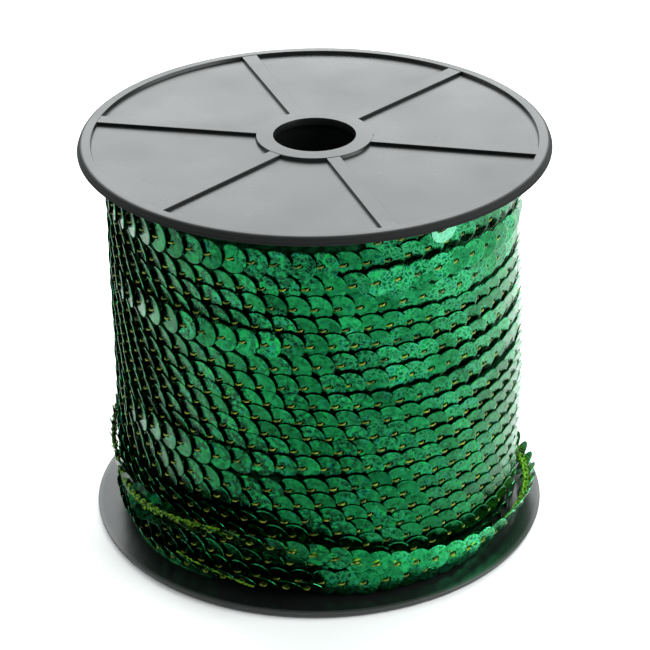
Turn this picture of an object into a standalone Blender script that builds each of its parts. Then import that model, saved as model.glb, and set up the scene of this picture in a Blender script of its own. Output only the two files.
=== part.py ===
# Sequin trim wound on a black plastic reel that stands on its lower flange.
# Metres, +Z up. The origin is on the reel's axis, on the surface it stands on.
# Azimuths run counter-clockwise seen from above, and the front is at -90 degrees.

import math

import bmesh
import bpy
from mathutils import Matrix, Vector

MM = 0.001
GAP = 0.3 * MM

# Reel
REEL_RADIUS = 47.5 * MM
REEL_HEIGHT = 84.6 * MM
PANEL_THICKNESS = 0.9 * MM
RIM_RISE = 0.7 * MM
RIB_RISE = 0.62 * MM
HUB_RISE = 0.7 * MM
FLANGE_THICKNESS = PANEL_THICKNESS + HUB_RISE
RIM_WIDTH = 2.7 * MM
RIM_ROUND = 1.0 * MM
LIP_THICKNESS = 0.3 * MM
LIP_REACH = 0.2 * MM
BORE_RADIUS = 8.3 * MM
HUB_RADIUS = 11.7 * MM
DRAFT = 0.2 * MM
BARREL_RADIUS = 11.5 * MM
BARREL_BORE_RADIUS = 9.6 * MM
RIB_COUNT = 6
RIB_FIRST_AZIMUTH = -12.0
RIB_HUB_WIDTH = 2.8 * MM
RIB_RIM_WIDTH = 3.4 * MM
RIB_START = 10.0 * MM
RIB_END = 46.5 * MM
RIB_EDGE = 0.2 * MM
FLANGE_STEPS = 72
BARREL_STEPS = 40
SHARP_ANGLE = math.radians(35)

# Trim: the pitch from turn to turn and a sequin's top edge above its stitch line, in mm
FRONT_AZIMUTH = -90.0
BACK_AZIMUTH = 90.0
MEAN_PITCH = 3.95
TOP_EDGE = 2.95
TURN_STEPS = 54
TURNS_PAST_FLANGES = 3

# Height in mm of each turn's stitch line at the front, the lowest turn first
STITCH_HEIGHTS = (
    2.2, 5.4, 9.5, 12.5, 16.4, 19.6, 23.2, 26.7, 31.5, 35.3, 38.3,
    41.7, 45.5, 49.6, 54.1, 58.6, 62.0, 66.5, 70.9, 75.8, 80.9,
)

# One turn's ridge: part of the way up to the next turn, radius in mm
RIDGE = (
    (0.00, 42.0),
    (0.10, 40.9),
    (0.55, 41.45),
)

# Soft patches that push the winding out or in: azimuth and half spread in degrees,
# height, half height and push in mm
PATCHES = (
    (0, 120, 72, 24, -0.7),
    (0, 120, 34, 26, 0.6),
    (225, 42, 2.2, 1.8, 2.3),
)

# The turns under the loose turn are pressed in at the left: mm and degrees
GROOVE_DEPTH = 1.0
GROOVE_HALF_HEIGHT = 6.5
GROOVE_START = 138
GROOVE_END = 262
GROOVE_EASE = 16

# The loose turn from its upper end at the back left: azimuth, radius in mm, height in mm,
# twist in degrees (0 faces out, 90 faces down, 180 faces the winding)
LOOSE_TURN = (
    (150, 43.2, 21.0, 184), (165, 43.1, 19.8, 187), (180, 42.9, 18.9, 194), (195, 43.1, 17.4, 205),
    (204, 43.5, 15.5, 198), (212, 43.9, 14.6, 164), (220, 44.4, 14.6, 116), (228, 44.4, 15.0, 86),
    (235, 44.2, 15.3, 66), (242, 43.8, 15.3, 42), (250, 43.4, 14.4, 28), (260, 43.2, 13.6, 18),
    (270, 43.2, 12.5, 11), (280, 43.2, 10.5, 5), (290, 43.3, 8.7, 2), (300, 43.5, 7.6, 2),
    (312, 43.9, 6.7, 8), (325, 44.3, 6.3, 18), (338, 44.4, 5.9, 29), (350, 44.6, 5.3, 36),
    (365, 44.6, 4.9, 36), (380, 44.3, 4.8, 29), (400, 43.9, 4.9, 18), (420, 43.5, 4.9, 8),
    (438, 43.3, 4.9, 4),
)
STRIP_WIDTH = 5.8 * MM
STRIP_THICKNESS = 0.9 * MM
STRIP_EDGE_THICKNESS = 0.3 * MM
STRIP_FLAT_SHARE = 0.8
STRIP_STEP = 4.5

BLACK_PLASTIC = (0.012, 0.012, 0.013, 1.0)
GREEN_FOIL = (0.0, 0.19, 0.06, 1.0)


def make_collection(name):
    collection = bpy.data.collections.new(name)
    bpy.context.scene.collection.children.link(collection)
    return collection


def make_material(name, colour, roughness, metallic):
    material = bpy.data.materials.new(name)
    material.use_nodes = True
    shader = material.node_tree.nodes["Principled BSDF"]
    shader.inputs["Base Color"].default_value = colour
    shader.inputs["Roughness"].default_value = roughness
    shader.inputs["Metallic"].default_value = metallic
    material.diffuse_color = colour
    return material


def add_object(name, mesh, collection, material):
    part = bpy.data.objects.new(name, mesh)
    mesh.materials.append(material)
    collection.objects.link(part)
    return part


def add_cutter(name, mesh, collection, material):
    cutter = add_object(name, mesh, collection, material)
    cutter.hide_render = True
    cutter.display_type = "WIRE"
    return cutter


def turned_mesh(name, profile):
    """The closed outline (radius, height) of a turned ring, ready for a Screw modifier."""
    count = len(profile)
    mesh = bpy.data.meshes.new(name)
    mesh.from_pydata(
        [(radius, 0.0, height) for radius, height in profile],
        [(i, (i + 1) % count) for i in range(count)],
        [],
    )
    return mesh


def add_screw(part, steps):
    screw = part.modifiers.new("Turn", "SCREW")
    screw.steps = steps
    screw.render_steps = steps
    screw.use_merge_vertices = True
    screw.merge_threshold = 0.000001
    screw.use_smooth_shade = False


def add_boolean(part, operation, other):
    boolean = part.modifiers.new(operation.title(), "BOOLEAN")
    boolean.operation = operation
    boolean.solver = "EXACT"
    boolean.object = other


def shade_round(part):
    """Applies the modifiers and shades smooth between the sharp edges."""
    graph = bpy.context.evaluated_depsgraph_get()
    mesh = bpy.data.meshes.new_from_object(part.evaluated_get(graph))
    mesh.shade_smooth()
    mesh.set_sharp_from_angle(angle=SHARP_ANGLE)
    part.modifiers.clear()
    part.data = mesh


def flange_profile():
    """Runs over the outer face from the bore, down the rounded rim and back inside."""
    rim_top = PANEL_THICKNESS + RIM_RISE
    rim_edge = REEL_RADIUS - LIP_REACH
    round_centre = rim_edge - RIM_ROUND
    points = [
        (BORE_RADIUS, FLANGE_THICKNESS),
        (HUB_RADIUS, FLANGE_THICKNESS),
        (HUB_RADIUS + DRAFT, PANEL_THICKNESS),
        (REEL_RADIUS - RIM_WIDTH - DRAFT, PANEL_THICKNESS),
        (REEL_RADIUS - RIM_WIDTH, rim_top),
    ]
    for angle in (90, 60, 30, 0):
        turn = math.radians(angle)
        radius = round_centre + RIM_ROUND * math.cos(turn)
        points.append((radius, rim_top - RIM_ROUND + RIM_ROUND * math.sin(turn)))
    points.append((rim_edge, LIP_THICKNESS))
    points.append((REEL_RADIUS, LIP_THICKNESS))
    points.append((REEL_RADIUS, 0.0))
    points.append((BORE_RADIUS, 0.0))
    return points


def rib_mesh():
    """Six ribs from the hub ring to the outer edge, sunk halfway into the panel."""
    ribs = bmesh.new()
    top = PANEL_THICKNESS + RIB_RISE
    for index in range(RIB_COUNT):
        corners = bmesh.ops.create_cube(ribs, size=1.0)["verts"]
        for vert in corners:
            outer = vert.co.x > 0
            vert.co.x = RIB_END if outer else RIB_START
            vert.co.y *= RIB_RIM_WIDTH if outer else RIB_HUB_WIDTH
            vert.co.z = top if vert.co.z > 0 else PANEL_THICKNESS / 2
        azimuth = math.radians(RIB_FIRST_AZIMUTH + index * 360 / RIB_COUNT)
        bmesh.ops.rotate(ribs, verts=corners, matrix=Matrix.Rotation(azimuth, 3, "Z"))
    upper = [edge for edge in ribs.edges if all(v.co.z > PANEL_THICKNESS for v in edge.verts)]
    bmesh.ops.bevel(ribs, geom=upper, offset=RIB_EDGE, segments=1, affect="EDGES")
    mesh = bpy.data.meshes.new("ribs")
    ribs.to_mesh(mesh)
    ribs.free()
    return mesh


def make_flange(name, parts, cutters, material):
    """Inner face at the object's own origin, ribs and hub above it."""
    flange = add_object(name, turned_mesh(name, flange_profile()), parts, material)
    add_screw(flange, FLANGE_STEPS)
    ribs = add_cutter(name + "_ribs", rib_mesh(), cutters, material)
    ribs.parent = flange
    add_boolean(flange, "UNION", ribs)
    shade_round(flange)
    return flange


def make_barrel(parts, material):
    low = FLANGE_THICKNESS + GAP
    high = REEL_HEIGHT - FLANGE_THICKNESS - GAP
    profile = [
        (BARREL_BORE_RADIUS, high),
        (BARREL_RADIUS, high),
        (BARREL_RADIUS, low),
        (BARREL_BORE_RADIUS, low),
    ]
    barrel = add_object("barrel", turned_mesh("barrel", profile), parts, material)
    add_screw(barrel, BARREL_STEPS)
    shade_round(barrel)


def smooth_step(value):
    value = min(max(value, 0.0), 1.0)
    return value * value * (3 - 2 * value)


def catmull(before, here, after, beyond, share):
    """A smooth curve through here and after, share of the way between them."""
    return 0.5 * (
        2 * here
        + (after - before) * share
        + (2 * before - 5 * here + 4 * after - beyond) * share**2
        + (3 * here - before - 3 * after + beyond) * share**3
    )


def turn_height(index):
    """Stitch height in mm at the front of a turn, evenly spaced past the table's ends."""
    last = len(STITCH_HEIGHTS) - 1
    if index < 0:
        return STITCH_HEIGHTS[0] + index * MEAN_PITCH
    if index > last:
        return STITCH_HEIGHTS[last] + (index - last) * MEAN_PITCH
    return STITCH_HEIGHTS[index]


def stitch_height(turn):
    """Height in mm along the helix; whole numbers of turn are at the front."""
    index = math.floor(turn)
    near = [turn_height(index + step) for step in (-1, 0, 1, 2)]
    return catmull(*near, turn - index)


def loose_turn_at(azimuth):
    """Radius, height and twist of the loose turn at an azimuth, by smooth curves."""
    last = len(LOOSE_TURN) - 2
    index = 0
    while index < last and LOOSE_TURN[index + 1][0] <= azimuth:
        index += 1
    start = LOOSE_TURN[index][0]
    share = (azimuth - start) / (LOOSE_TURN[index + 1][0] - start)
    rows = [LOOSE_TURN[min(max(index + step, 0), last + 1)] for step in (-1, 0, 1, 2)]
    return [catmull(*(row[column] for row in rows), share) for column in (1, 2, 3)]


def patch_push(azimuth, height):
    """How far the soft patches move the surface here, in mm."""
    push = 0.0
    for middle, spread, level, reach, amount in PATCHES:
        aside = abs((azimuth - middle + 180) % 360 - 180)
        around = smooth_step(1 - aside / spread)
        push += amount * around * smooth_step(1 - abs(height - level) / reach)
    return push


def groove(azimuth, height):
    """How far the loose turn presses the surface in here, in mm."""
    along = azimuth % 360
    if not GROOVE_START < along < GROOVE_END:
        return 0.0
    ends = smooth_step(min(along - GROOVE_START, GROOVE_END - along) / GROOVE_EASE)
    _, middle, _ = loose_turn_at(max(along, LOOSE_TURN[0][0]))
    across = 1 - ((height - middle) / GROOVE_HALF_HEIGHT) ** 2
    return GROOVE_DEPTH * ends * smooth_step(2 * across)


def winding_mesh():
    """Ridged helix, climbing clockwise seen from above: a grid whose two sides meet one
    turn apart at the back."""
    rows_per_turn = len(RIDGE)
    turns = len(STITCH_HEIGHTS) + TURNS_PAST_FLANGES
    rows = turns * rows_per_turn
    shape = bmesh.new()
    bmesh.ops.create_grid(shape, x_segments=TURN_STEPS, y_segments=rows, size=0.5)
    for vert in shape.verts:
        column = round((vert.co.x + 0.5) * TURN_STEPS)
        row = round((vert.co.y + 0.5) * rows)
        part, radius = RIDGE[row % rows_per_turn]
        azimuth = BACK_AZIMUTH - 360 * column / TURN_STEPS
        around = (FRONT_AZIMUTH + 360 - azimuth) / 360
        turn = row // rows_per_turn - TURNS_PAST_FLANGES + around + part
        height = stitch_height(turn) + TOP_EDGE
        radius += patch_push(azimuth, height) - groove(azimuth, height)
        angle = math.radians(azimuth)
        vert.co = Vector((radius * math.cos(angle), radius * math.sin(angle), height)) * MM
    bmesh.ops.remove_doubles(shape, verts=shape.verts, dist=0.000001)
    for upper in (False, True):
        rim = [
            edge for edge in shape.edges
            if edge.is_boundary and (edge.verts[0].co.z > REEL_HEIGHT / 2) == upper
        ]
        height = sum(edge.verts[0].co.z for edge in rim) / len(rim)
        made = bmesh.ops.extrude_edge_only(shape, edges=rim)["geom"]
        tips = [item for item in made if isinstance(item, bmesh.types.BMVert)]
        bmesh.ops.pointmerge(shape, verts=tips, merge_co=(0.0, 0.0, height))
    bmesh.ops.recalc_face_normals(shape, faces=shape.faces)
    mesh = bpy.data.meshes.new("winding")
    shape.to_mesh(mesh)
    shape.free()
    return mesh


def make_winding(parts, cutters, material):
    winding = add_object("winding", winding_mesh(), parts, material)
    inside = BARREL_RADIUS + GAP
    outside = REEL_RADIUS
    low = FLANGE_THICKNESS + GAP
    high = REEL_HEIGHT - FLANGE_THICKNESS - GAP
    profile = [(inside, high), (outside, high), (outside, low), (inside, low)]
    room = add_cutter("winding_room", turned_mesh("winding_room", profile), cutters, material)
    add_screw(room, BARREL_STEPS)
    add_boolean(winding, "INTERSECT", room)
    shade_round(winding)


def loose_turn_mesh():
    """A flat strip as wide as a sequin, lofted along the loose turn with its twist."""
    section = []
    for side in (1, -1):
        edge = side * STRIP_EDGE_THICKNESS / 2
        face = side * STRIP_THICKNESS / 2
        reach = side * STRIP_WIDTH / 2
        flat = reach * STRIP_FLAT_SHARE
        section += [(reach, -edge), (reach, edge), (flat, face), (-flat, face)]
    start = LOOSE_TURN[0][0]
    end = LOOSE_TURN[-1][0]
    count = round((end - start) / STRIP_STEP)
    strip = bmesh.new()
    rings = []
    for index in range(count + 1):
        azimuth = start + (end - start) * index / count
        radius, height, twist = loose_turn_at(azimuth)
        angle = math.radians(azimuth)
        turn = math.radians(twist)
        outward = Vector((math.cos(angle), math.sin(angle), 0.0))
        middle = outward * radius * MM + Vector((0.0, 0.0, height * MM))
        face = outward * math.cos(turn) - Vector((0.0, 0.0, math.sin(turn)))
        across = outward * math.sin(turn) + Vector((0.0, 0.0, math.cos(turn)))
        rings.append([strip.verts.new(middle + across * a + face * b) for a, b in section])
    for near, far in zip(rings, rings[1:]):
        for i in range(len(section)):
            j = (i + 1) % len(section)
            strip.faces.new((near[i], near[j], far[j], far[i]))
    strip.faces.new(rings[0])
    strip.faces.new(rings[-1])
    bmesh.ops.recalc_face_normals(strip, faces=strip.faces)
    mesh = bpy.data.meshes.new("loose_turn")
    strip.to_mesh(mesh)
    strip.free()
    return mesh


def main():
    for old in list(bpy.data.objects):
        bpy.data.objects.remove(old, do_unlink=True)

    parts = make_collection("sequin_trim_on_reel")
    cutters = make_collection("cutters")
    plastic = {
        name: make_material(name + "_plastic", BLACK_PLASTIC, 0.25, 0.0)
        for name in ("top_flange", "bottom_flange", "barrel")
    }
    foil = {
        name: make_material(name + "_foil", GREEN_FOIL, 0.3, 0.8)
        for name in ("winding", "loose_turn")
    }

    bottom = make_flange("bottom_flange", parts, cutters, plastic["bottom_flange"])
    bottom.rotation_euler.x = math.pi
    bottom.location.z = FLANGE_THICKNESS
    top = make_flange("top_flange", parts, cutters, plastic["top_flange"])
    top.location.z = REEL_HEIGHT - FLANGE_THICKNESS
    make_barrel(parts, plastic["barrel"])
    make_winding(parts, cutters, foil["winding"])
    strip = add_object("loose_turn", loose_turn_mesh(), parts, foil["loose_turn"])
    shade_round(strip)


main()
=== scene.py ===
# Looks for the sequin trim on its reel: sequins, stitches, thread chain, plastic, floor and light.
# Metres, +Z up, the reel's axis at the origin. Azimuths run counter-clockwise seen from above,
# and the front is at -90 degrees. Lengths in the dictionaries are in mm, those of the materials
# and the studio in metres, and angles are in degrees.
import math

import bpy
import numpy as np
from mathutils import Matrix, Vector


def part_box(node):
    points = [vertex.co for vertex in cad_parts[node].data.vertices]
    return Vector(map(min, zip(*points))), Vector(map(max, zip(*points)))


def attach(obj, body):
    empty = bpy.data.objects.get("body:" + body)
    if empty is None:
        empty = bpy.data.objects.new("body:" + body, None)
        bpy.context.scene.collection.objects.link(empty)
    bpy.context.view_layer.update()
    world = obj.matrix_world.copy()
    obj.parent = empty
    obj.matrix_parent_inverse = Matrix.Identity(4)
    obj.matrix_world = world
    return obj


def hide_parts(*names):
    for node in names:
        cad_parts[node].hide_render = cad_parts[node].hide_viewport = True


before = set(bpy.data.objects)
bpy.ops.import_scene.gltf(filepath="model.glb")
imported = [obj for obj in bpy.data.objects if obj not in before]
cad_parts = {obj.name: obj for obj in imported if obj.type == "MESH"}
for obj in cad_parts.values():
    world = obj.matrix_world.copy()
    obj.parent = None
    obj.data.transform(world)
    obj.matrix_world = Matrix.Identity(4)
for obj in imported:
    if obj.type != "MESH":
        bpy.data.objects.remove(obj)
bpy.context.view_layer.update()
mm = 0.001
weld = 0.000001  # vertices nearer than this, in metres, become one
rng = np.random.default_rng(61)

# the camera
view = {
    "location": (0.0, -450.64, 282.0),
    "forward": (0.00325, 0.88207, -0.47111),
    "up": (0.01297, 0.47103, 0.88202),
    "lens": 135.81,
    "sensor": 36,
    "clip": (0.01, 20),  # in metres
}


def placeCamera():
    data = bpy.data.cameras.new("camera")
    data.lens = view["lens"]
    data.sensor_width = view["sensor"]
    data.clip_start, data.clip_end = view["clip"]
    camera = bpy.data.objects.new("camera", data)
    bpy.context.scene.collection.objects.link(camera)
    back = -Vector(view["forward"]).normalized()
    right = Vector(view["up"]).cross(back).normalized()
    up = back.cross(right)
    turn = Matrix((right, up, back)).transposed()
    camera.matrix_world = Matrix.Translation(Vector(view["location"]) * mm) @ turn.to_4x4()
    bpy.context.scene.camera = camera


placeCamera()
print("camera placed")


def deselectAll():
    if bpy.context.object and bpy.context.object.mode != "OBJECT":
        bpy.ops.object.mode_set(mode="OBJECT")
    bpy.ops.object.select_all(action="DESELECT")


def startPiece(name):
    piece = bpy.context.object
    piece.name = name
    piece.data.name = name
    return piece


def only(piece):
    deselectAll()
    piece.select_set(True)
    bpy.context.view_layer.objects.active = piece


def extrudeBy(step, scale=None):
    bpy.ops.mesh.extrude_region_move(TRANSFORM_OT_translate={"value": step})
    if scale is not None:
        bpy.ops.transform.resize(value=scale, center_override=(0, 0, 0))


def closeShape(distance=weld):
    bpy.ops.mesh.select_all(action="SELECT")
    bpy.ops.mesh.remove_doubles(threshold=distance)
    bpy.ops.mesh.normals_make_consistent(inside=False)
    bpy.ops.object.mode_set(mode="OBJECT")


def settle(piece):
    # place, turn and scale go into the mesh, as a CAD node's do
    only(piece)
    bpy.ops.object.transform_apply(location=True, rotation=True, scale=True)


def takeTemplate(piece):
    # vertices and faces of a modelled piece, which is then removed. They are put in order,
    # because the operators may leave them in another order on each run
    vertices = np.array([tuple(v.co) for v in piece.data.vertices])
    order = np.lexsort(np.round(vertices, 7).T)
    place = {int(old): new for new, old in enumerate(order)}
    faces = []
    for face in piece.data.polygons:
        corners = [place[v] for v in face.vertices]
        first = corners.index(min(corners))
        faces.append(tuple(corners[first:] + corners[:first]))
    mesh = piece.data
    bpy.data.objects.remove(piece)
    bpy.data.meshes.remove(mesh)
    return vertices[order], sorted(faces)


# one sequin: a thin flat disc with a centre hole and its edge rolled back a little.
# x runs along the strand, y across it and z out of its face
sequin = {
    "radius": 3.0,
    "hole": 0.5,
    "corners": 20,
    "rimWidth": 0.22,
    "rimDrop": 0.07,
    "thickness": 0.1,
}


def modelSequin():
    deselectAll()
    hole = sequin["hole"] * mm
    flat = (sequin["radius"] - sequin["rimWidth"]) * mm
    outer = sequin["radius"] * mm
    bpy.ops.mesh.primitive_circle_add(vertices=sequin["corners"], radius=hole, fill_type="NOTHING")
    piece = startPiece("sequinPattern")
    bpy.ops.object.mode_set(mode="EDIT")
    bpy.ops.mesh.select_all(action="SELECT")
    extrudeBy((0, 0, 0), (flat / hole, flat / hole, 1))
    extrudeBy((0, 0, -sequin["rimDrop"] * mm), (outer / flat, outer / flat, 1))
    extrudeBy((0, 0, -sequin["thickness"] * mm))
    extrudeBy((0, 0, (sequin["thickness"] + sequin["rimDrop"]) * mm), (hole / outer, hole / outer, 1))
    closeShape()
    return takeTemplate(piece)


# one stitch: out of the hole, over the face and under the next sequin's edge
stitch = {
    "width": 0.36,
    "corners": 8,
    "line": (  # along the strand, out of the face
        (0.10, -0.25), (0.02, 0.06), (-0.25, 0.24), (-0.75, 0.25), (-1.10, 0.15), (-1.45, -0.02),
    ),
    "slope": 13,  # its left end is the lower one
}


def modelStitch():
    deselectAll()
    slope = math.tan(math.radians(stitch["slope"]))
    line = [Vector((x, slope * x, z)) * mm for x, z in stitch["line"]]
    start = line[0]
    bpy.ops.mesh.primitive_circle_add(
        vertices=stitch["corners"],
        radius=stitch["width"] * mm / 2,
        fill_type="NGON",
        location=start,
        rotation=(0, math.radians(90), 0),
    )
    piece = startPiece("stitchPattern")
    settle(piece)
    bpy.ops.object.mode_set(mode="EDIT")
    bpy.ops.mesh.select_all(action="SELECT")
    for here, after in zip(line, line[1:]):
        extrudeBy(after - here)
    closeShape()
    return takeTemplate(piece)


# one loop of the chain on the strand's back, pointed like a link of chain stitch
chainLink = {
    "length": 2.3,
    "width": 1.3,
    "thread": 0.55,
    "aroundLoop": 12,
    "aroundThread": 5,
    "tilt": 14,
    "step": 1.05,
    "roll": 38,  # to either side in turn, which makes a round rope of the links
    "rollSpread": 8,
}


def modelChainLink():
    deselectAll()
    thread = chainLink["thread"] * mm
    bpy.ops.mesh.primitive_torus_add(
        major_segments=chainLink["aroundLoop"],
        minor_segments=chainLink["aroundThread"],
        major_radius=(chainLink["width"] * mm - thread) / 2,
        minor_radius=thread / 2,
    )
    piece = startPiece("chainPattern")
    stretch = chainLink["length"] / chainLink["width"]
    bpy.ops.object.mode_set(mode="EDIT")
    bpy.ops.mesh.select_all(action="SELECT")
    bpy.ops.transform.resize(value=(stretch, 1, 1), center_override=(0, 0, 0))
    bpy.ops.object.mode_set(mode="OBJECT")
    piece.rotation_euler.y = math.radians(chainLink["tilt"])
    settle(piece)
    return takeTemplate(piece)


# how the trim is wound: heights, leans and how untidy it is. A turn is counted from the bottom
trim = {
    "front": -90.0,
    "meanPitch": 3.95,
    "topEdge": 2.95,
    "perTurn": 60.6,  # sequins
    "stepSpread": 0.0006,  # in turns
    "radius": 41.5,
    "lean": 9.5,  # top edge out
    "leanSpread": 1.6,
    "rightLean": 3.5,  # more of it round the right, between these angles from the front
    "rightFrom": 10,
    "rightTo": 150,
    "rightEase": 40,
    "yaw": 9.0,  # right edge out
    "yawSpread": 1.0,
    "leftYaw": 4.0,  # more of it round the left, from this angle on
    "leftFrom": 25,
    "leftEase": 45,
    "messFrom": 19.74,  # the last turn is tucked in untidily from here
    "messEase": 0.04,
    "messLean": 9,
    "messYaw": 10,
    "paleTurn": 19.895,  # one pale sequin under the upper flange
    "palePush": 0.7,
    "edge": 3.2,  # from a stitch up to where the turn above begins to show
    "ownLineTo": 110,  # a turn follows its own line this far round from the front
    "ownLineEase": 60,
    "floor": 1.75,  # the lower flange's inner face
    "ceiling": 82.85,  # the upper flange's inner face
}

# height of each turn's stitch line at the front, the lowest turn first
stitchHeights = (
    2.2, 5.4, 9.5, 12.5, 16.4, 19.6, 23.2, 26.7, 31.5, 35.3, 38.3,
    41.7, 45.5, 49.6, 54.1, 58.6, 62.0, 66.5, 70.9, 75.8, 80.9,
)

# where each turn's upper edge shows round the front, every 20 degrees from the left
edgeAzimuths = (-150, -130, -110, -90, -70, -50, -30)
turnEdges = {
    2: (11.9, 12.1, 12.4, 12.8, 12.9, 13.7, 13.1),
    3: (14.6, 14.8, 15.3, 15.9, 16.9, 16.9, 17.3),
    4: (18.3, 17.6, 18.0, 19.8, 20.3, 20.3, 20.4),
    5: (21.3, 20.9, 21.5, 23.0, 23.8, 23.7, 23.6),
    6: (26.2, 25.7, 25.7, 26.6, 27.0, 27.1, 27.3),
    7: (30.9, 29.8, 29.2, 30.1, 30.5, 30.5, 30.7),
    8: (36.5, 35.8, 35.3, 34.9, 34.4, 33.8, 34.2),
    9: (38.9, 39.2, 39.1, 38.7, 38.1, 37.2, 37.5),
    10: (43.2, 42.8, 42.5, 41.7, 41.2, 40.8, 40.6),
    11: (46.8, 46.3, 45.9, 45.1, 44.6, 44.3, 44.0),
    12: (50.4, 49.4, 49.0, 48.9, 48.3, 48.5, 49.3),
    13: (53.9, 52.8, 52.5, 53.0, 53.6, 53.4, 53.1),
    14: (57.8, 56.8, 56.4, 57.5, 57.9, 57.4, 57.4),
    15: (63.3, 63.0, 62.4, 62.0, 61.6, 61.1, 61.1),
    16: (66.7, 66.3, 65.8, 65.4, 65.2, 64.4, 64.4),
    17: (69.7, 69.8, 69.9, 69.9, 69.8, 69.6, 70.3),
    18: (73.9, 73.6, 73.7, 74.3, 75.2, 75.5, 75.5),
    19: (79.6, 80.0, 79.8, 79.2, 79.1, 80.1, 79.7),
}

# soft swells and hollows: azimuth, half spread, height, half height, push
patches = (
    (0, 120, 72, 24, -0.7),
    (0, 120, 34, 26, 0.6),
    (198, 24, 14, 9, 0.5),
)

# stretches of a turn that stand proud of the turn below: turn, half length in turns, push, lean
proudStretches = (
    (19.12, 0.17, 0.9, -9),
    (15.12, 0.14, 0.9, -8),
    (8.13, 0.11, 0.8, -8),
    (7.11, 0.10, 0.4, -5),
    (17.88, 0.13, 1.1, -10),
    (0.93, 0.09, 1.5, -8),
    (16.86, 0.07, 0.4, -4),
)
proudEase = 1.6  # how flat the middle of such a stretch is

# beside the lower flange the sequins fold out and down, and the lowest turn is pushed out
fold = {"reach": 1.5, "lean": 24, "push": 1.2, "pushTo": 0.19, "ease": 0.04, "clear": 0.1}

# the turns under the loose turn are pressed in at the left
groove = {
    "depth": 0.35,
    "halfHeight": 6.5,
    "flatness": 2,
    "start": 172,
    "end": 262,
    "ease": 16,
    "lean": 15,
}

# the loose turn from its upper end: azimuth, radius, height, twist
# (0 faces out, 90 faces down, 180 faces the winding)
looseTurn = (
    (150, 43.2, 21.0, 184), (165, 43.1, 19.8, 187), (180, 42.9, 18.9, 194), (195, 43.1, 17.4, 205),
    (204, 43.5, 15.5, 198), (212, 43.9, 14.6, 164), (220, 44.4, 14.6, 116), (228, 44.4, 15.0, 86),
    (235, 44.2, 15.3, 66), (242, 43.8, 15.3, 42), (250, 43.4, 14.4, 28), (260, 43.2, 13.6, 18),
    (270, 43.2, 12.5, 11), (280, 43.2, 10.5, 5), (290, 43.3, 8.7, 2), (300, 43.5, 7.6, 2),
    (312, 43.9, 6.7, 8), (325, 44.3, 6.3, 18), (338, 44.4, 5.9, 29), (350, 44.6, 5.3, 36),
    (365, 44.6, 4.9, 36), (380, 44.3, 4.8, 29), (400, 43.9, 4.9, 18), (420, 43.5, 4.9, 8),
    (438, 43.3, 4.9, 4),
)


def smoothStep(value):
    value = min(max(value, 0.0), 1.0)
    return value * value * (3 - 2 * value)


def catmull(before, here, after, beyond, share):
    return 0.5 * (
        2 * here
        + (after - before) * share
        + (2 * before - 5 * here + 4 * after - beyond) * share**2
        + (3 * here - before - 3 * after + beyond) * share**3
    )


def turnHeight(index):
    last = len(stitchHeights) - 1
    if index < 0:
        return stitchHeights[0] + index * trim["meanPitch"]
    if index > last:
        return stitchHeights[last] + (index - last) * trim["meanPitch"]
    return stitchHeights[index]


def helixHeight(turn):
    index = math.floor(turn)
    near = [turnHeight(index + step) for step in (-1, 0, 1, 2)]
    return catmull(*near, turn - index)


def stitchHeight(turn):
    # the plain helix behind, eased into the turn's own line round the front
    plain = helixHeight(turn)
    index = round(turn)
    if index not in turnEdges:
        return plain
    azimuth = trim["front"] - 360 * (turn - index)
    own = float(np.interp(azimuth, edgeAzimuths, turnEdges[index])) - trim["edge"]
    share = smoothStep((trim["ownLineTo"] - abs(azimuth - trim["front"])) / trim["ownLineEase"])
    return plain + (own - plain) * share


def looseTurnAt(azimuth):
    last = len(looseTurn) - 2
    index = 0
    while index < last and looseTurn[index + 1][0] <= azimuth:
        index += 1
    start = looseTurn[index][0]
    share = (azimuth - start) / (looseTurn[index + 1][0] - start)
    rows = [looseTurn[min(max(index + step, 0), last + 1)] for step in (-1, 0, 1, 2)]
    return [catmull(*(row[column] for row in rows), share) for column in (1, 2, 3)]


def patchPush(azimuth, height):
    push = 0.0
    for middle, spread, level, reach, amount in patches:
        aside = abs((azimuth - middle + 180) % 360 - 180)
        push += amount * smoothStep(1 - aside / spread) * smoothStep(1 - abs(height - level) / reach)
    return push


def grooveAt(azimuth, height):
    along = azimuth % 360
    if not groove["start"] < along < groove["end"]:
        return 0.0
    ends = smoothStep(min(along - groove["start"], groove["end"] - along) / groove["ease"])
    middle = looseTurnAt(max(along, looseTurn[0][0]))[1]
    aside = (height - middle) / groove["halfHeight"]
    return ends * smoothStep(groove["flatness"] * (1 - aside**2))


def spotAt(azimuth, radius, height):
    angle = math.radians(azimuth)
    return np.array((radius * math.cos(angle), radius * math.sin(angle), height))


def frameAt(azimuth, lean, yaw):
    # along, across and face of a sequin that leans its top edge out and yaws its right edge out
    angle = math.radians(azimuth)
    outward = np.array((math.cos(angle), math.sin(angle), 0.0))
    along = np.array((-math.sin(angle), math.cos(angle), 0.0))
    up = np.array((0.0, 0.0, 1.0))
    tip = math.radians(lean)
    across = up * math.cos(tip) + outward * math.sin(tip)
    face = outward * math.cos(tip) - up * math.sin(tip)
    turn = math.radians(yaw)
    side = along * math.cos(turn) + face * math.sin(turn)
    face = face * math.cos(turn) - along * math.sin(turn)
    return side, across, face


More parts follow.
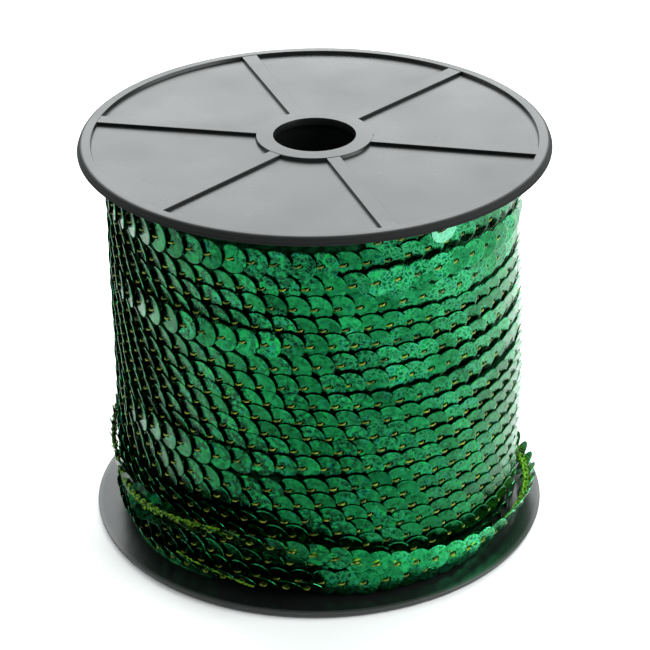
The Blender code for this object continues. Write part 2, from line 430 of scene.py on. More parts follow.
def woundPlace(turn):
    # where one wound sequin sits: its middle and its three directions
    azimuth = trim["front"] - 360 * turn
    height = stitchHeight(turn)
    push = patchPush(azimuth, height + trim["topEdge"])
    around = (azimuth - trim["front"] + 180) % 360 - 180
    rightward = smoothStep((around - trim["rightFrom"]) / trim["rightEase"])
    backward = smoothStep((trim["rightTo"] - around) / trim["rightEase"])
    lean = trim["lean"] + trim["rightLean"] * rightward * backward
    for middle, reach, amount, tip in proudStretches:
        share = smoothStep(proudEase * (1 - abs(turn - middle) / reach))
        push += amount * share
        lean += tip * share
    pressed = grooveAt(azimuth, height)
    push -= groove["depth"] * pressed
    lean += groove["lean"] * pressed
    radius = trim["radius"] + push
    half = sequin["radius"]
    low = trim["floor"] + half * math.cos(math.radians(lean)) - height
    if low > 0:
        share = min(low / fold["reach"], 1.0)
        lean += fold["lean"] * share
        radius += fold["push"] * share * smoothStep((fold["pushTo"] - turn) / fold["ease"])
        height = trim["floor"] + half * math.cos(math.radians(lean)) + fold["clear"]
    height = min(height, trim["ceiling"] - half)
    mess = smoothStep((turn - trim["messFrom"]) / trim["messEase"])
    lean += rng.normal(0, 1) * trim["messLean"] * mess
    if abs(turn - trim["paleTurn"]) < 0.5 / trim["perTurn"]:
        radius += trim["palePush"]
    yaw = trim["yaw"] + rng.normal(0, 1) * trim["messYaw"] * mess
    yaw += trim["leftYaw"] * smoothStep((-around - trim["leftFrom"]) / trim["leftEase"])
    lean += rng.normal(0, trim["leanSpread"])
    yaw += rng.normal(0, trim["yawSpread"])
    return spotAt(azimuth, radius, height), frameAt(azimuth, lean, yaw)


def layOut(name, template, places, tones, shift=(0, 0, 0)):
    # one joined mesh: a copy of the modelled pattern at each place
    vertices, faces = template
    count = len(vertices)
    allVertices = []
    allFaces = []
    for index, (middle, directions) in enumerate(places):
        turned = (vertices + np.array(shift) * mm) @ np.array(directions) + middle * mm
        allVertices.append(turned)
        allFaces += [tuple(v + index * count for v in face) for face in faces]
    mesh = bpy.data.meshes.new(name)
    mesh.from_pydata(np.concatenate(allVertices).tolist(), [], allFaces)
    tone = mesh.attributes.new("tone", "FLOAT", "POINT")
    tone.data.foreach_set("value", np.repeat(np.array(tones, dtype=np.float32), count))
    piece = bpy.data.objects.new(name, mesh)
    bpy.context.scene.collection.objects.link(piece)
    return piece


sequinShape = modelSequin()
stitchShape = modelStitch()
linkShape = modelChainLink()
print("sequin, stitch and chain link modelled")


loose = {
    "spacing": 4.3,
    "leanSpread": 1.2,
    "yawSpread": 0.8,
    "samples": 2000,
    "pathStep": 2.0,
    "backThread": -0.62,  # the chain lies this far behind the sequins
    # painted shade at the left, where the backs show, and painted light, brightest at the front right:
    # azimuth, tone
    "tones": (
        (150, 0.22), (236, 0.3), (262, 1.0), (280, 1.3), (295, 1.8), (322, 1.9), (345, 1.4), (438, 1.2),
    ),
    "toneSpread": (0.85, 1.15),
    # painted shade and light on the chain, brightest round the front right: azimuth, tone
    "chainShading": ((204, 0.75), (262, 0.9), (330, 2.0)),
    "chainToneSpread": (0.8, 1.2),
}


def loosePlace(azimuth):
    radius, height, twist = looseTurnAt(azimuth)
    lean = twist + rng.normal(0, loose["leanSpread"])
    yaw = trim["yaw"] + rng.normal(0, loose["yawSpread"])
    return spotAt(azimuth, radius, height), frameAt(azimuth, lean, yaw)


def linkPlace(azimuth, side):
    radius, height, twist = looseTurnAt(azimuth)
    roll = chainLink["roll"] * side + rng.normal(0, chainLink["rollSpread"])
    return spotAt(azimuth, radius, height), frameAt(azimuth, twist + roll, 0)


def loosePath(step):
    # points every step mm along the loose turn, as azimuth and position
    fine = np.linspace(looseTurn[0][0], looseTurn[-1][0], loose["samples"])
    points = np.array([spotAt(azimuth, *looseTurnAt(azimuth)[:2]) for azimuth in fine])
    run = np.concatenate([[0], np.cumsum(np.linalg.norm(np.diff(points, axis=0), axis=1))])
    marks = np.linspace(0, run[-1], round(run[-1] / step) + 1)
    azimuths = np.interp(marks, run, fine)
    spots = np.column_stack([np.interp(marks, run, points[:, k]) for k in range(3)])
    return azimuths, spots, run[-1]


def makeLooseTurn():
    azimuths, _, length = loosePath(loose["spacing"])
    places = [loosePlace(a) for a in azimuths]
    # painted shade at the left and painted light at the front right, scaled a little at random
    tones = np.interp(azimuths, *zip(*loose["tones"]))
    tones = tones * rng.uniform(*loose["toneSpread"], len(places))
    discs = layOut("looseTurn", sequinShape, places, tones)
    seams = layOut("looseTurnStitches", stitchShape, places, tones)
    linkAzimuths, _, _ = loosePath(chainLink["step"])
    linkPlaces = [linkPlace(a, 1 if index % 2 else -1) for index, a in enumerate(linkAzimuths)]
    # painted shade and light along the chain
    linkTones = np.interp(linkAzimuths, *zip(*loose["chainShading"]))
    linkTones = linkTones * rng.uniform(*loose["chainToneSpread"], len(linkPlaces))
    behind = (0, 0, loose["backThread"])
    chain = layOut("looseTurnChain", linkShape, linkPlaces, linkTones, shift=behind)
    for piece in (discs, seams, chain):
        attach(piece, "root")
    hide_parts("loose_turn")
    print(f"loose turn laid, {length:.1f} mm long, {len(places)} sequins")
    return discs, seams, chain


looseDiscs, looseStitches, looseChain = makeLooseTurn()


# the pieces of the winding, from turn to turn
groups = (
    ("lowTurns", 0.0, 5.33),
    ("midTurns", 5.33, 13.0),
    ("highTurns", 13.0, 19.96),
)
woundTone = {
    "middle": 0.95,
    "spread": 0.14,
    "least": 0.6,
    "most": 1.4,
    "dimFrom": 18.75,  # the turns in the upper flange's shade
    "dim": 0.82,
    "nearPale": 0.38,  # and darkest beside the pale sequin
    "nearReach": 0.045,
    "pale": 4,
}


def makeWoundTurns():
    made = []
    for name, first, last in groups:
        count = round((last - first) * trim["perTurn"])
        turns = first + (np.arange(count) + 0.5) * (last - first) / count
        turns = turns + rng.normal(0, trim["stepSpread"], count)
        places = [woundPlace(turn) for turn in turns]
        tones = rng.normal(woundTone["middle"], woundTone["spread"], count)
        tones = np.clip(tones, woundTone["least"], woundTone["most"])
        tones[turns > woundTone["dimFrom"]] *= woundTone["dim"]
        fromPale = np.abs(turns - trim["paleTurn"])
        tones[fromPale < woundTone["nearReach"]] *= woundTone["nearPale"]
        tones[fromPale < 0.5 / trim["perTurn"]] = woundTone["pale"]
        discs = layOut(name, sequinShape, places, tones)
        seams = layOut(name + "Stitches", stitchShape, places, tones)
        for piece in (discs, seams):
            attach(piece, "root")
        made.append((discs, seams))
        print(f"{name}: {count} sequins")
    return made


woundTurns = makeWoundTurns()


# a length of thread that lies over the lowest turns at the front left: azimuth, radius, height
lowThread = {
    "line": ((229, 44.0, 7.4), (235, 44.0, 6.8), (242, 44.0, 6.1), (248, 44.0, 5.2), (252, 44.1, 4.6)),
    "step": 0.55,
    "scale": 0.34,  # of a chain link
    "stray": 0.05,
    "rollSpread": 25,
    "tone": 0.8,
}


def makeLowThread():
    azimuths, radii, heights = zip(*lowThread["line"])
    run = math.radians(azimuths[-1] - azimuths[0]) * radii[0]
    marks = np.linspace(azimuths[0], azimuths[-1], round(run / lowThread["step"]))
    places = []
    for a in marks:
        radius = np.interp(a, azimuths, radii) + rng.normal(0, lowThread["stray"])
        height = np.interp(a, azimuths, heights) + rng.normal(0, lowThread["stray"])
        roll = rng.normal(0, lowThread["rollSpread"])
        places.append((spotAt(a, radius, height), frameAt(a, roll, 0)))
    vertices, faces = linkShape
    tones = np.full(len(places), lowThread["tone"])
    piece = layOut("lowThread", (vertices * lowThread["scale"], faces), places, tones)
    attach(piece, "root")
    print("low thread laid")
    return piece


lowThreadPiece = makeLowThread()


# the trim under the outer sequins, a little inside the CAD winding
core = {"shrink": 1.55, "beyond": 20.0}  # pushed in by, outside this radius


def makeCore():
    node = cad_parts["winding"]
    mesh = node.data.copy()
    piece = bpy.data.objects.new("innerTurns", mesh)
    bpy.context.scene.collection.objects.link(piece)
    only(piece)
    bpy.ops.object.mode_set(mode="EDIT")
    bpy.ops.mesh.select_all(action="SELECT")
    bpy.ops.mesh.remove_doubles(threshold=2 * weld)
    bpy.ops.object.mode_set(mode="OBJECT")
    for vertex in piece.data.vertices:
        radius = math.hypot(vertex.co.x, vertex.co.y)
        if radius > core["beyond"] * mm:
            share = (radius - core["shrink"] * mm) / radius
            vertex.co.x *= share
            vertex.co.y *= share
    for face in piece.data.polygons:
        face.use_smooth = True
    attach(piece, "root")
    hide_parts("winding")
    return piece


innerTurns = makeCore()
print("inner turns made")


# both flanges are one moulding, the lower one turned over
flange = {
    "radius": 47.5,
    "panel": 0.9,
    "rimRise": 0.7,
    "rimWidth": 2.7,
    "rimRound": 1.0,
    "ribRise": 0.62,
    "hubRise": 0.7,
    "hubRadius": 11.7,
    "bore": 8.3,
    "lip": 0.3,
    "lipReach": 0.2,
    "draft": 0.2,
    "steps": 180,
    "ribCount": 6,
    "ribFirst": -12.0,
    "ribHubWidth": 2.8,
    "ribRimWidth": 3.4,
    "ribStart": 10.0,
    "ribEnd": 46.6,
    "ribEdge": 0.12,
    "ribEdgeSteps": 3,
    "rimAngleStep": 15,
    "corner": 0.08,
    "cornerShare": 0.3,  # how far in a corner's middle point lies
    "smoothBelow": 32,
}


def flangeLine():
    # half section from the bore over the outer face to the lip: radius, height
    f = flange
    top = f["panel"] + f["hubRise"]
    rim = f["panel"] + f["rimRise"]
    edge = f["radius"] - f["lipReach"]
    c = f["corner"]
    s = f["cornerShare"] * c
    line = [
        (f["bore"], top - c), (f["bore"] + s, top - s), (f["bore"] + c, top),
        (f["hubRadius"] - c, top), (f["hubRadius"] - s, top - s), (f["hubRadius"], top - c),
        (f["hubRadius"] + f["draft"], f["panel"]),
        (f["radius"] - f["rimWidth"] - f["draft"], f["panel"]),
        (f["radius"] - f["rimWidth"], rim - c),
        (f["radius"] - f["rimWidth"] + s, rim - s),
        (f["radius"] - f["rimWidth"] + c, rim),
    ]
    middle = edge - f["rimRound"]
    for angle in range(90, -1, -f["rimAngleStep"]):
        turn = math.radians(angle)
        line.append((
            middle + f["rimRound"] * math.cos(turn),
            rim - f["rimRound"] + f["rimRound"] * math.sin(turn),
        ))
    line += [
        (edge, f["lip"] + c), (edge + c, f["lip"]), (f["radius"] - c, f["lip"]),
        (f["radius"], f["lip"] - c), (f["radius"], c), (f["radius"] - c, 0.0),
        (f["bore"] + c, 0.0), (f["bore"], c),
    ]
    return line


def modelTurnedDisc(name):
    deselectAll()
    line = [Vector((radius, 0, height)) * mm for radius, height in flangeLine()]
    bpy.ops.mesh.primitive_plane_add(size=mm, location=line[0])
    piece = startPiece(name)
    settle(piece)
    bpy.ops.object.mode_set(mode="EDIT")
    bpy.ops.mesh.select_all(action="SELECT")
    bpy.ops.mesh.merge(type="CENTER")
    for here, after in zip(line, line[1:] + line[:1]):
        extrudeBy(after - here)
    bpy.ops.mesh.select_all(action="SELECT")
    bpy.ops.mesh.remove_doubles(threshold=weld)
    bpy.ops.mesh.select_all(action="SELECT")
    bpy.ops.mesh.spin(
        steps=flange["steps"], angle=math.radians(360), center=(0, 0, 0), axis=(0, 0, 1)
    )
    closeShape(2 * weld)
    return piece


def modelRib(name, azimuth):
    # from the hub to the rim's outer edge, sunk into the panel
    f = flange
    top = f["panel"] + f["ribRise"]
    low = f["panel"] / 2
    deselectAll()
    bpy.ops.mesh.primitive_cube_add(size=mm, location=(0, 0, 0))
    piece = startPiece(name)
    for vertex in piece.data.vertices:
        outer = vertex.co.x > 0
        vertex.co.x = (f["ribEnd"] if outer else f["ribStart"]) * mm
        vertex.co.y *= f["ribRimWidth"] if outer else f["ribHubWidth"]
        vertex.co.z = (top if vertex.co.z > 0 else low) * mm
    for edge in piece.data.edges:
        edge.select = all(piece.data.vertices[v].co.z > f["panel"] * mm for v in edge.vertices)
    for vertex in piece.data.vertices:
        vertex.select = vertex.co.z > f["panel"] * mm
    for face in piece.data.polygons:
        face.select = all(piece.data.vertices[v].select for v in face.vertices)
    bpy.ops.object.mode_set(mode="EDIT")
    bpy.ops.mesh.bevel(offset=f["ribEdge"] * mm, segments=f["ribEdgeSteps"], affect="EDGES")
    bpy.ops.object.mode_set(mode="OBJECT")
    piece.rotation_euler.z = math.radians(azimuth)
    settle(piece)
    return piece


def modelFlange(name):
    disc = modelTurnedDisc(name)
    for index in range(flange["ribCount"]):
        azimuth = flange["ribFirst"] + index * 360 / flange["ribCount"]
        rib = modelRib("rib", azimuth)
        only(disc)
        union = disc.modifiers.new("rib", "BOOLEAN")
        union.operation = "UNION"
        union.solver = "EXACT"
        union.object = rib
        bpy.ops.object.modifier_apply(modifier=union.name)
        bpy.data.objects.remove(rib)
    return disc


def finishFlange(piece, node):
    settle(piece)
    bpy.ops.object.shade_smooth_by_angle(angle=math.radians(flange["smoothBelow"]))
    # flat faces keep flat normals, only the small rounds shade round
    flat = piece.modifiers.new("flat", "WEIGHTED_NORMAL")
    flat.keep_sharp = True
    bpy.ops.object.modifier_apply(modifier=flat.name)
    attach(piece, "root")
    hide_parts(node)


def makeReel():
    thickness = (flange["panel"] + flange["hubRise"]) * mm
    upper = modelFlange("upperFlange")
    lower = upper.copy()
    lower.data = upper.data.copy()
    lower.name = "lowerFlange"
    bpy.context.scene.collection.objects.link(lower)
    upper.location.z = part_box("top_flange")[0][2]
    lower.rotation_euler.x = math.pi
    lower.location.z = thickness
    finishFlange(upper, "top_flange")
    finishFlange(lower, "bottom_flange")
    return upper, lower


upperFlange, lowerFlange = makeReel()
print("reel made")


def newMaterial(name):
    material = bpy.data.materials.new(name)
    material.use_nodes = True
    nodes = material.node_tree.nodes
    return material, nodes, material.node_tree.links, nodes["Principled BSDF"]


def addNode(nodes, kind, x, y, **settings):
    node = nodes.new("ShaderNode" + kind)
    node.location = (x, y)
    for key, value in settings.items():
        setattr(node, key, value)
    return node


def addRange(nodes, links, source, low, high, first, last, x, y):
    node = addNode(nodes, "MapRange", x, y)
    links.new(source, node.inputs["Value"])
    node.inputs["From Min"].default_value = low
    node.inputs["From Max"].default_value = high
    node.inputs["To Min"].default_value = first
    node.inputs["To Max"].default_value = last
    return node.outputs["Result"]


def addMath(nodes, links, operation, first, second, x, y):
    node = addNode(nodes, "Math", x, y, operation=operation)
    for socket, value in zip(node.inputs, (first, second)):
        if isinstance(value, (int, float)):
            socket.default_value = value
        else:
            links.new(value, socket)
    return node.outputs[0]


def addMix(nodes, links, share, first, second, x, y):
    node = addNode(nodes, "Mix", x, y, data_type="RGBA")
    for name, value in (("Factor", share), ("A", first), ("B", second)):
        kind = "VALUE" if name == "Factor" else "RGBA"
        socket = next(s for s in node.inputs if s.name == name and s.type == kind)
        if isinstance(value, (int, float, tuple)):
            socket.default_value = value
        else:
            links.new(value, socket)
    return next(s for s in node.outputs if s.type == "RGBA")


def addBump(nodes, links, height, values, shader, x, y):
    bump = addNode(nodes, "Bump", x, y)
    bump.inputs["Strength"].default_value, bump.inputs["Distance"].default_value = values
    links.new(height, bump.inputs["Height"])
    links.new(bump.outputs["Normal"], shader.inputs["Normal"])


def startGroup(name, inputs, outputs):
    # a node group with these sockets, each a label and a kind
    group = bpy.data.node_groups.new(name, "ShaderNodeTree")
    for side, sockets in (("INPUT", inputs), ("OUTPUT", outputs)):
        for label, kind in sockets:
            group.interface.new_socket(label, in_out=side, socket_type="NodeSocket" + kind)
    source = group.nodes.new("NodeGroupInput")
    source.location = (-1500, 0)
    result = group.nodes.new("NodeGroupOutput")
    result.location = (900, 0)
    return group, source, result


# a row of four numbers is a range and what it becomes: from low, from high, to low, to high
foil = {
    "bright": (0.009, 0.205, 0.058, 1),
    "middle": (0.0015, 0.068, 0.017, 1),
    "dark": (0.0003, 0.014, 0.005, 1),
    "veinGlint": (0.045, 0.400, 0.170, 1),
    "fresh": (0.0015, 0.260, 0.036, 1),
    "teal": (0.004, 0.150, 0.110, 1),
    "pale": (0.13, 0.34, 0.24, 1),  # the one sequin that has lost its colour
    "blots": 860,  # per metre, as are the next four
    "cells": 1250,
    "veins": 1100,
    "wobble": 1500,
    "clouds": 110,
    "blotDetail": 1.5,
    "cloudDetail": 2,
    "bend": 0.0011,  # how far the cells are pushed out of line
    "glintsByX": (0.0, 0.026, 0.30, 1.0),  # painted glints on the veins, more of them to the right
    "glintsByHeight": (0.035, 0.060, 0.45, 1.0),  # and high up
    "glintsAtFoot": (0.010, 0.014, 1.0, 0.0),  # and on the lowest turns
    "blotsByX": (0.0, 0.026, 1.0, 0.42),
    "mottle": (0.0, 1.0, 0.0, 0.9),
    "blotMask": (0.46, 0.53, 0.95, 0.0),
    "glintMask": (0.0, 0.17, 1.0, 0.0),
    "cloudMask": (0.43, 0.53, 0.26, 1.0),
    "freshMask": (0.72, 0.80, 0.0, 0.8),
    "hueMask": (0.45, 0.55, 0.0, 1.0),
    "paleMask": (2.0, 4.0, 0.0, 0.85),  # by tone
    "roughness": (0.0, 1.0, 0.10, 0.27),
    "hills": (0.0, 0.5, 0.0, 1.0),
    "bump": (0.4, 0.00006),  # strength, distance
}


def makeFoilGroup():
    # mottled laser foil with painted glints on its veins: colour, roughness and height from a position
    # and a tone
    group, source, result = startGroup(
        "laserFoil",
        (("Vector", "Vector"), ("Tone", "Float")),
        (("Color", "Color"), ("Roughness", "Float"), ("Height", "Float")),
    )
    nodes = group.nodes
    links = group.links
    blots = addNode(nodes, "TexNoise", -900, 600)
    blots.inputs["Scale"].default_value = foil["blots"]
    blots.inputs["Detail"].default_value = foil["blotDetail"]
    cells = addNode(nodes, "TexVoronoi", -900, 300)
    cells.inputs["Scale"].default_value = foil["cells"]
    veins = addNode(nodes, "TexVoronoi", -900, 0, feature="DISTANCE_TO_EDGE")
    veins.inputs["Scale"].default_value = foil["veins"]
    clouds = addNode(nodes, "TexNoise", -900, -300)
    clouds.inputs["Scale"].default_value = foil["clouds"]
    clouds.inputs["Detail"].default_value = foil["cloudDetail"]
    wobble = addNode(nodes, "TexNoise", -1300, 300)
    wobble.inputs["Scale"].default_value = foil["wobble"]
    links.new(source.outputs["Vector"], wobble.inputs["Vector"])
    shift = addNode(nodes, "VectorMath", -1150, 300, operation="MULTIPLY_ADD")
    links.new(wobble.outputs["Color"], shift.inputs[0])
    shift.inputs[1].default_value = [foil["bend"]] * 3
    links.new(source.outputs["Vector"], shift.inputs[2])
    for texture in (cells, veins):
        links.new(shift.outputs[0], texture.inputs["Vector"])
    for texture in (blots, clouds):
        links.new(source.outputs["Vector"], texture.inputs["Vector"])
    sides = addNode(nodes, "SeparateXYZ", -1000, -500)
    links.new(source.outputs["Vector"], sides.inputs[0])
    # where the painted glints on the veins go: to the right, high up and on the lowest turns
    rightward = addRange(nodes, links, sides.outputs[0], *foil["glintsByX"], -800, -500)
    upward = addRange(nodes, links, sides.outputs[2], *foil["glintsByHeight"], -800, -600)
    downward = addRange(nodes, links, sides.outputs[2], *foil["glintsAtFoot"], -800, -650)
    upward = addMath(nodes, links, "MAXIMUM", upward, downward, -700, -620)
    rightward = addMath(nodes, links, "MULTIPLY", rightward, upward, -650, -550)
    apart = addNode(nodes, "SeparateColor", -700, 300)
    links.new(cells.outputs["Color"], apart.inputs["Color"])
    mottle = addRange(nodes, links, apart.outputs[0], *foil["mottle"], -500, 300)
    blotMask = addRange(nodes, links, blots.outputs["Fac"], *foil["blotMask"], -500, 600)
    glintMask = addRange(nodes, links, veins.outputs["Distance"], *foil["glintMask"], -500, 0)
    strong = addRange(nodes, links, clouds.outputs["Fac"], *foil["cloudMask"], -500, -300)
    glintMask = addMath(nodes, links, "MULTIPLY", glintMask, strong, -300, 0)
    glintMask = addMath(nodes, links, "MULTIPLY", glintMask, rightward, -200, 0)
    blotMask = addMath(nodes, links, "MULTIPLY", blotMask, strong, -300, 500)
    leftward = addRange(nodes, links, sides.outputs[0], *foil["blotsByX"], -800, -700)
    blotMask = addMath(nodes, links, "MULTIPLY", blotMask, leftward, -200, 500)
    body = addMix(nodes, links, mottle, foil["middle"], foil["bright"], -100, 300)
    fresh = addRange(nodes, links, apart.outputs[2], *foil["freshMask"], -500, 150)
    fresh = addMath(nodes, links, "MULTIPLY", fresh, strong, -300, 150)
    hue = addRange(nodes, links, apart.outputs[1], *foil["hueMask"], -500, 50)
    freshColour = addMix(nodes, links, hue, foil["fresh"], foil["teal"], -300, 50)
    body = addMix(nodes, links, fresh, body, freshColour, 0, 250)
    body = addMix(nodes, links, blotMask, body, foil["dark"], 100, 200)
    # painted glints along the veins
    body = addMix(nodes, links, glintMask, body, foil["veinGlint"], 300, 100)
    scaled = addNode(nodes, "VectorMath", 500, 100, operation="SCALE")
    links.new(body, scaled.inputs[0])
    links.new(source.outputs["Tone"], scaled.inputs["Scale"])
    washed = addRange(nodes, links, source.outputs["Tone"], *foil["paleMask"], 500, -100)
    pale = addMix(nodes, links, washed, scaled.outputs[0], foil["pale"], 700, 100)
    links.new(pale, result.inputs["Color"])
    rough = addRange(nodes, links, apart.outputs[1], *foil["roughness"], 100, -300)
    links.new(rough, result.inputs["Roughness"])
    hills = addRange(nodes, links, veins.outputs["Distance"], *foil["hills"], -300, -200)
    height = addMath(nodes, links, "ADD", blots.outputs["Fac"], hills, 100, -500)
    links.new(height, result.inputs["Height"])
    return group


foilGroup = makeFoilGroup()


def makeFoil(name):
    material, nodes, links, shader = newMaterial(name)
    place = addNode(nodes, "TexCoord", -900, 0)
    tone = addNode(nodes, "Attribute", -900, -300, attribute_name="tone")
    group = addNode(nodes, "Group", -600, 0, node_tree=foilGroup)
    links.new(place.outputs["Object"], group.inputs["Vector"])
    links.new(tone.outputs["Fac"], group.inputs["Tone"])
    links.new(group.outputs["Color"], shader.inputs["Base Color"])
    links.new(group.outputs["Roughness"], shader.inputs["Roughness"])
    addBump(nodes, links, group.outputs["Height"], foil["bump"], shader, -300, -300)
    shader.inputs["Metallic"].default_value = 1.0
    return material


innerTrim = {
    "dark": (0.004, 0.035, 0.012, 1),
    "light": (0.014, 0.120, 0.040, 1),
    "mottle": 700,
    "mottleMask": (0.4, 0.65, 0.0, 1.0),
    "roughness": 0.5,
}


def makeInnerFoil():
    material, nodes, links, shader = newMaterial("innerTrim")
    place = addNode(nodes, "TexCoord", -900, 0)
    noise = addNode(nodes, "TexNoise", -700, 0)
    noise.inputs["Scale"].default_value = innerTrim["mottle"]
    links.new(place.outputs["Object"], noise.inputs["Vector"])
    share = addRange(nodes, links, noise.outputs["Fac"], *innerTrim["mottleMask"], -500, 0)
    colour = addMix(nodes, links, share, innerTrim["dark"], innerTrim["light"], -300, 0)
    links.new(colour, shader.inputs["Base Color"])
    shader.inputs["Roughness"].default_value = innerTrim["roughness"]
    shader.inputs["Metallic"].default_value = 1.0
    return material


thread = {
    "gold": (0.23, 0.30, 0.018, 1),
    "olive": (0.016, 0.040, 0.002, 1),
    "chainLight": (0.12, 0.30, 0.014, 1),
    "chainDark": (0.010, 0.035, 0.002, 1),
    "mottle": 1300,
    "mottleDetail": 4,
    "mottleMask": (0.38, 0.62, 0.0, 1.0),
    "fibre": 5000,
    "bump": (0.6, 0.0001),
    "roughness": 0.45,
    "gloss": 0.35,
    "chainGloss": 0.08,
}


def makeThreadGroup():
    # spun thread: two colours mottled together and scaled by a tone, and the height of its fibres
    group, source, result = startGroup(
        "spunThread",
        (("Vector", "Vector"), ("Dark", "Color"), ("Light", "Color"), ("Tone", "Float")),
        (("Color", "Color"), ("Height", "Float")),
    )
    nodes = group.nodes
    links = group.links
    noise = addNode(nodes, "TexNoise", -700, 0)
    noise.inputs["Scale"].default_value = thread["mottle"]
    noise.inputs["Detail"].default_value = thread["mottleDetail"]
    fine = addNode(nodes, "TexNoise", -700, -300)
    fine.inputs["Scale"].default_value = thread["fibre"]
    for texture in (noise, fine):
        links.new(source.outputs["Vector"], texture.inputs["Vector"])
    share = addRange(nodes, links, noise.outputs["Fac"], *thread["mottleMask"], -500, 0)
    colour = addMix(nodes, links, share, source.outputs["Dark"], source.outputs["Light"], -300, 0)
    scaled = addNode(nodes, "VectorMath", -150, 100, operation="SCALE")
    links.new(colour, scaled.inputs[0])
    links.new(source.outputs["Tone"], scaled.inputs["Scale"])
    links.new(scaled.outputs[0], result.inputs["Color"])
    links.new(fine.outputs["Fac"], result.inputs["Height"])
    return group


threadGroup = makeThreadGroup()


def makeThread(name, light, dark, toned=False):
    material, nodes, links, shader = newMaterial(name)
    place = addNode(nodes, "TexCoord", -900, 0)
    group = addNode(nodes, "Group", -600, 0, node_tree=threadGroup)
    links.new(place.outputs["Object"], group.inputs["Vector"])
    group.inputs["Dark"].default_value = dark
    group.inputs["Light"].default_value = light
    group.inputs["Tone"].default_value = 1
    if toned:
        tone = addNode(nodes, "Attribute", -900, -300, attribute_name="tone")
        links.new(tone.outputs["Fac"], group.inputs["Tone"])
    links.new(group.outputs["Color"], shader.inputs["Base Color"])
    addBump(nodes, links, group.outputs["Height"], thread["bump"], shader, -300, -300)
    shader.inputs["Roughness"].default_value = thread["roughness"]
    shader.inputs["Specular IOR Level"].default_value = thread["chainGloss" if toned else "gloss"]
    return material


plastic = {
    "base": (0.0045, 0.005, 0.005, 1),
    "handled": (0.008, 0.009, 0.009, 1),
    "handledMask": (0.35, 0.75, 0.0, 1.0),
    "dust": (0.030, 0.031, 0.032, 1),
    "dustMask": (0.05, 0.09, 1.0, 0.0),
    "dustPick": (0.86, 0.88, 0.0, 1.0),
    # a painted highlight along the rim, lighter than the plastic
    "rimHighlight": (0.036, 0.038, 0.037, 1),
    "rimMask": (0.0464, 0.0470, 0.0, 1.0),  # by radius
    "upperRim": (0.55, 0.0),  # how dull each flange's rim is, and how much painted highlight it gets
    "lowerRim": (0.0, 1.0),
    "clouds": 55,  # per metre, as are the next two
    "grain": 2600,
    "specks": 240,
    "cloudDetail": 5,
    "roughness": (0.3, 0.7, 0.25, 0.36),
    "bump": (0.08, 0.00005),
    "ior": 1.31,
}


def makePlasticGroup():
    # moulded plastic with handling marks, grain, dust, a dull rim and a painted highlight on the rim
    group, source, result = startGroup(
        "mouldedPlastic",
        (("Vector", "Vector"), ("Dull Rim", "Float"), ("Rim Highlight", "Float")),
        (("Color", "Color"), ("Roughness", "Float"), ("Height", "Float")),
    )
    nodes = group.nodes
    links = group.links
    cloud = addNode(nodes, "TexNoise", -1000, 200)
    cloud.inputs["Scale"].default_value = plastic["clouds"]
    cloud.inputs["Detail"].default_value = plastic["cloudDetail"]
    grain = addNode(nodes, "TexNoise", -1000, -100)
    grain.inputs["Scale"].default_value = plastic["grain"]
    specks = addNode(nodes, "TexVoronoi", -1000, -400)
    specks.inputs["Scale"].default_value = plastic["specks"]
    for texture in (cloud, grain, specks):
        links.new(source.outputs["Vector"], texture.inputs["Vector"])
    speck = addRange(nodes, links, specks.outputs["Distance"], *plastic["dustMask"], -800, -400)
    pick = addNode(nodes, "SeparateColor", -800, -600)
    links.new(specks.outputs["Color"], pick.inputs["Color"])
    chosen = addRange(nodes, links, pick.outputs[0], *plastic["dustPick"], -600, -600)
    speck = addMath(nodes, links, "MULTIPLY", speck, chosen, -600, -400)
    wear = addRange(nodes, links, cloud.outputs["Fac"], *plastic["handledMask"], -800, 200)
    colour = addMix(nodes, links, wear, plastic["base"], plastic["handled"], -500, 200)
    colour = addMix(nodes, links, speck, colour, plastic["dust"], -300, 200)
    rough = addRange(nodes, links, cloud.outputs["Fac"], *plastic["roughness"], -500, -50)
    level = addNode(nodes, "VectorMath", -1100, -800, operation="MULTIPLY")
    links.new(source.outputs["Vector"], level.inputs[0])
    level.inputs[1].default_value = (1, 1, 0)
    reach = addNode(nodes, "VectorMath", -900, -800, operation="LENGTH")
    links.new(level.outputs[0], reach.inputs[0])
    rim = addRange(nodes, links, reach.outputs["Value"], *plastic["rimMask"], -700, -800)
    # the painted highlight on the rim, as much as each flange asks for
    highlightShare = addMath(nodes, links, "MULTIPLY", rim, source.outputs["Rim Highlight"], -500, -950)
    colour = addMix(nodes, links, highlightShare, colour, plastic["rimHighlight"], -150, 200)
    links.new(colour, result.inputs["Color"])
    dull = addMath(nodes, links, "MULTIPLY", rim, source.outputs["Dull Rim"], -500, -800)
    rough = addMath(nodes, links, "ADD", rough, dull, -350, -50)
    links.new(rough, result.inputs["Roughness"])
    height = addMath(nodes, links, "SUBTRACT", grain.outputs["Fac"], speck, -400, -300)
    links.new(height, result.inputs["Height"])
    return group


plasticGroup = makePlasticGroup()


def makePlastic(name, dull, highlightShare):
    material, nodes, links, shader = newMaterial(name)
    place = addNode(nodes, "TexCoord", -900, 0)
    group = addNode(nodes, "Group", -600, 0, node_tree=plasticGroup)
    links.new(place.outputs["Object"], group.inputs["Vector"])
    group.inputs["Dull Rim"].default_value = dull
    group.inputs["Rim Highlight"].default_value = highlightShare
    links.new(group.outputs["Color"], shader.inputs["Base Color"])
    links.new(group.outputs["Roughness"], shader.inputs["Roughness"])
    addBump(nodes, links, group.outputs["Height"], plastic["bump"], shader, -300, -300)
    shader.inputs["IOR"].default_value = plastic["ior"]
    return material


def paint(piece, material):
    piece.data.materials.clear()
    piece.data.materials.append(material)


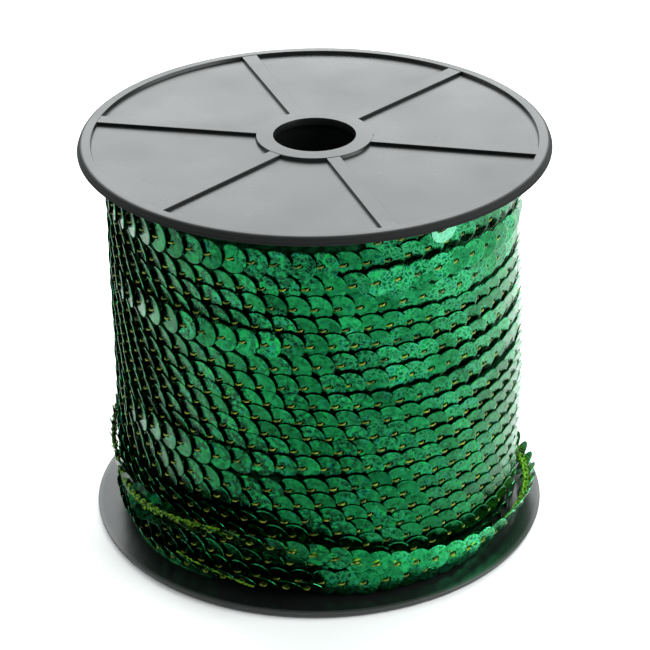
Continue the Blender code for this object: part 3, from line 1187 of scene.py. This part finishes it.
def paintAll():
    discs = makeFoil("sequinFoil")
    stitches = makeThread("goldThread", thread["gold"], thread["olive"])
    chain = makeThread("chainThread", thread["chainLight"], thread["chainDark"], toned=True)
    black = makePlastic("blackPlastic", *plastic["upperRim"])
    lowBlack = makePlastic("lowBlackPlastic", *plastic["lowerRim"])
    for piece, seams in woundTurns:
        paint(piece, discs)
        paint(seams, stitches)
    paint(looseDiscs, discs)
    paint(looseStitches, stitches)
    paint(lowThreadPiece, chain)
    paint(looseChain, chain)
    paint(innerTurns, makeInnerFoil())
    paint(upperFlange, black)
    paint(lowerFlange, lowBlack)
    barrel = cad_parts["barrel"]
    if not barrel.material_slots:
        barrel.data.materials.append(black)
    for slot in barrel.material_slots:
        slot.material = black


paintAll()
print("materials made")


studio = {
    "floor": (0.90, 0.90, 0.90, 1),
    "floorSize": 12,
    "floorRoughness": 0.9,
    "floorGloss": 0.1,
    "aim": (0, 0, 0.05),
    "ambient": 0.28,
    "tint": (0.96, 1.0, 1.0),
    "lights": {  # where each stands in metres, its size and its power
        "backLight": ((0.0, 1.4, 1.12), (3.0, 1.7), 86),
        "rightLight": ((1.25, -0.35, 0.65), (1.3, 1.2), 34),
        "leftLight": ((-1.35, 0.05, 0.65), (1.3, 1.2), 8),
        "frontLight": ((0.0, -1.5, 1.6), (1.6, 0.8), 9),
    },
}


def makeFloor():
    deselectAll()
    bpy.ops.mesh.primitive_plane_add(size=studio["floorSize"], location=(0, 0, 0))
    floor = startPiece("floor")
    material, _, _, shader = newMaterial("paleFloor")
    shader.inputs["Base Color"].default_value = studio["floor"]
    shader.inputs["Roughness"].default_value = studio["floorRoughness"]
    shader.inputs["Specular IOR Level"].default_value = studio["floorGloss"]
    paint(floor, material)


def makeLight(name, place, size, power):
    data = bpy.data.lights.new(name, "AREA")
    data.shape = "RECTANGLE"
    data.size, data.size_y = size
    data.energy = power
    data.color = studio["tint"]
    light = bpy.data.objects.new(name, data)
    bpy.context.scene.collection.objects.link(light)
    light.location = place
    aim = Vector(studio["aim"]) - Vector(place)
    light.rotation_euler = aim.to_track_quat("-Z", "Y").to_euler()


def makeStudio():
    makeFloor()
    world = bpy.data.worlds.new("studio")
    world.use_nodes = True
    ground = world.node_tree.nodes["Background"]
    ground.inputs["Color"].default_value = (1, 1, 1, 1)
    ground.inputs["Strength"].default_value = studio["ambient"]
    bpy.context.scene.world = world
    for name, (place, size, power) in studio["lights"].items():
        makeLight(name, place, size, power)
    scene = bpy.context.scene
    scene.view_settings.view_transform = "Standard"
    scene.view_settings.look = "None"


makeStudio()
print("studio made")
